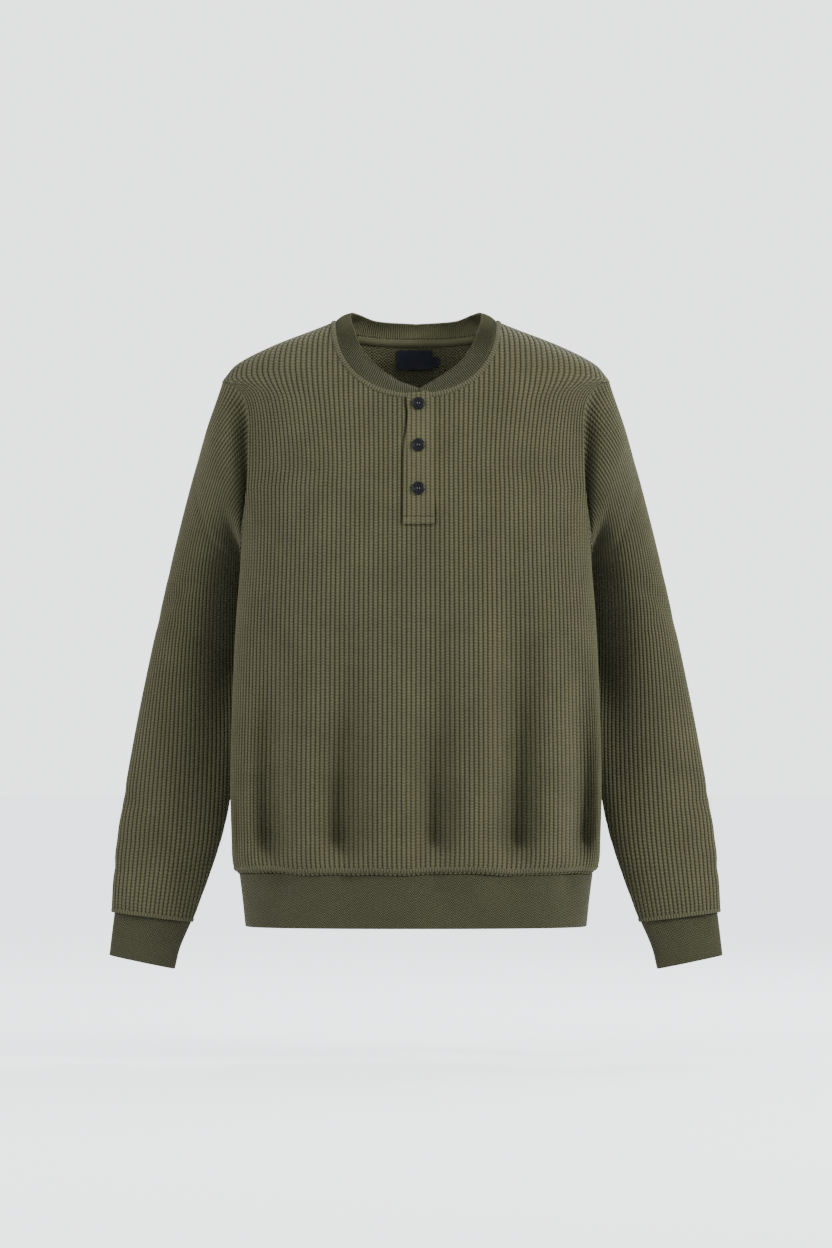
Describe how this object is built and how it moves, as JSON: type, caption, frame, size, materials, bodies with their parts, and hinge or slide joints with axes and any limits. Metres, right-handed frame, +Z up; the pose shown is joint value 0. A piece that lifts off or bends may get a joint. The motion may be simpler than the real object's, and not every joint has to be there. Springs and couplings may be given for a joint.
{
  "type": "henley shirt",
  "caption": "Long-sleeved henley shirt in chunky ribbed waffle knit, open and hollow as worn, with a banded notch neck, short button placket, knit cuffs and folded hem band.",
  "frame": {"origin": "midway between the two points where the shoulder seams meet the neck band, where the shirt hangs from its wearer", "axes": "+Z up, -Y the front of the shirt with its placket, +X the wearer's left sleeve"},
  "size_m": [0.714, 0.2336, 0.7643],
  "materials": {
    "waffle_knit": "chunky vertical waffle rib, matt, soft cotton nap",
    "band_knit": "fine one-by-one rib, matt",
    "label_weave": "tight smooth weave, bare",
    "button_horn": "polished, faintly marbled, raised rim"
  },
  "bodies": {
    "root": {"front_panel": "waffle_knit", "back_panel": "waffle_knit", "sleeve_left": "waffle_knit", "sleeve_right": "waffle_knit", "placket_top": "waffle_knit", "placket_under": "waffle_knit", "cuff_left": "band_knit", "cuff_right": "band_knit", "hem_band": "band_knit", "neck_band": "band_knit", "neck_tape": "band_knit", "label": "label_weave", "size_tab": "label_weave", "button_1": "button_horn", "button_2": "button_horn", "button_3": "button_horn"}
  },
  "joints": []
}
